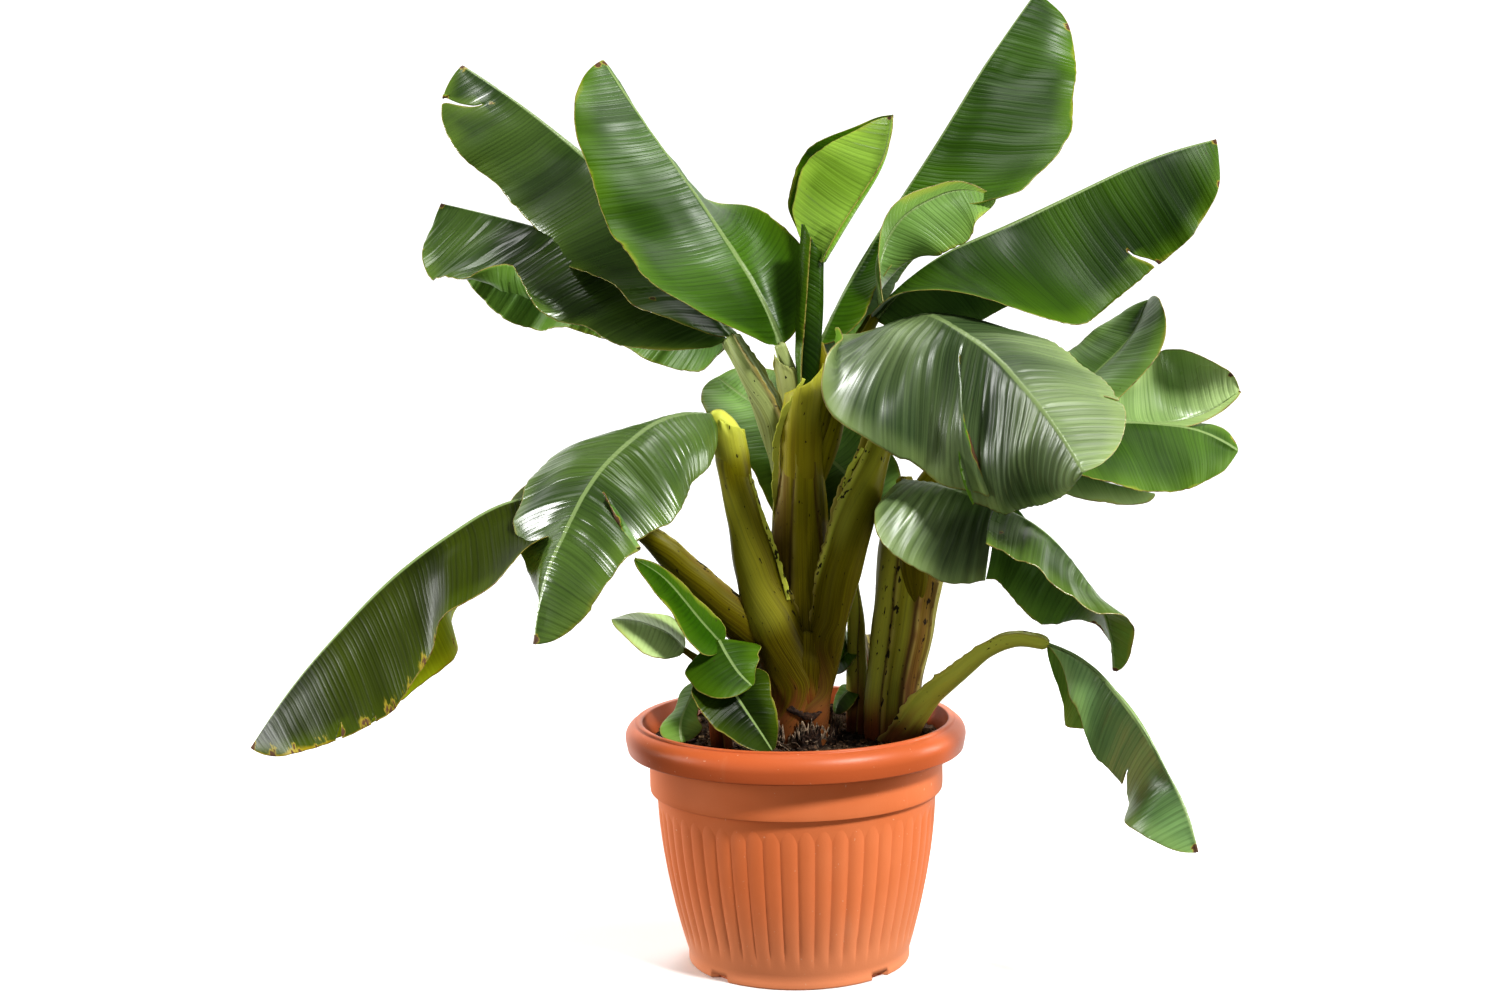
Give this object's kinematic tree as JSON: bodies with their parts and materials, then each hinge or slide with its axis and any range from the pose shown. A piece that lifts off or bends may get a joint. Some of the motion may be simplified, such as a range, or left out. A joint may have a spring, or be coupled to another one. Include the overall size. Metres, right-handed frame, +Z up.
{
  "type": "potted banana plant",
  "caption": "Dwarf banana plant with broad arching leaves and thick stems in a round fluted pot filled with soil.",
  "frame": {"origin": "centre of the pot's flat underside", "axes": "+Z up, +X to the viewer's right and +Y away from the viewer when the plant is seen from its front"},
  "size_m": [1.167, 0.6656, 1.1494],
  "materials": {
    "pot": "terracotta-coloured plastic, matt body with a satin rim",
    "soil": "loose dark potting soil with bark chips",
    "stem": "smooth olive leaf sheaths with brown streaks and a pinkish foot",
    "stalk": "smooth yellow-green leaf stalk with dark spots",
    "leaf": "satin green blade with fine side veins and a pale, partly brown margin",
    "dry_sheath": "dry torn brown sheath"
  },
  "bodies": {
    "root": {"back_leaf_low": "leaf", "back_leaf_middle": "leaf", "back_leaf_upright": "leaf", "leaf_back_high": "leaf", "leaf_back_low": "leaf", "leaf_centre": "leaf", "leaf_far_right_high": "leaf", "leaf_far_right_low": "leaf", "leaf_far_right_mid": "leaf", "leaf_far_right_scrap": "leaf", "leaf_front_left_inner": "leaf", "leaf_front_left_outer": "leaf", "leaf_front_right_inner": "leaf", "leaf_front_right_outer": "leaf", "leaf_left_high": "leaf", "leaf_left_low": "leaf", "leaf_left_mid": "leaf", "leaf_low_left_inner": "leaf", "leaf_low_left_outer": "leaf", "leaf_low_right": "leaf", "leaf_right_high": "leaf", "leaf_right_high_lobe": "leaf", "leaf_right_mid": "leaf", "leaf_second_back": "leaf", "leaf_second_front_inner": "leaf", "leaf_second_front_outer": "leaf", "pot": "pot", "roll_centre": "leaf", "sheath_dry": "dry_sheath", "soil": "soil", "stalk_back_high": "stalk", "stalk_back_low": "stalk", "stalk_front_left": "stalk", "stalk_front_right": "stalk", "stalk_left_high": "stalk", "stalk_left_low": "stalk", "stalk_left_mid": "stalk", "stalk_low_left": "stalk", "stalk_low_right": "stalk", "stalk_right_high": "stalk", "stalk_right_mid": "stalk", "stalk_second_back": "stalk", "stalk_second_far": "stalk", "stalk_second_front": "stalk", "stalk_second_outer": "stalk", "stalk_second_right": "stalk", "stem_centre": "stem", "stem_main": "stem", "stem_second": "stem", "sucker_back": "stem", "sucker_leaf_folded": "leaf", "sucker_leaf_front": "leaf", "sucker_leaf_low": "leaf", "sucker_leaf_outer": "leaf", "sucker_leaf_rim": "leaf", "sucker_left": "stem", "sucker_stalk_low": "stalk", "sucker_stalk_outer": "stalk", "sucker_stalk_rim": "stalk"}
  },
  "joints": []
}
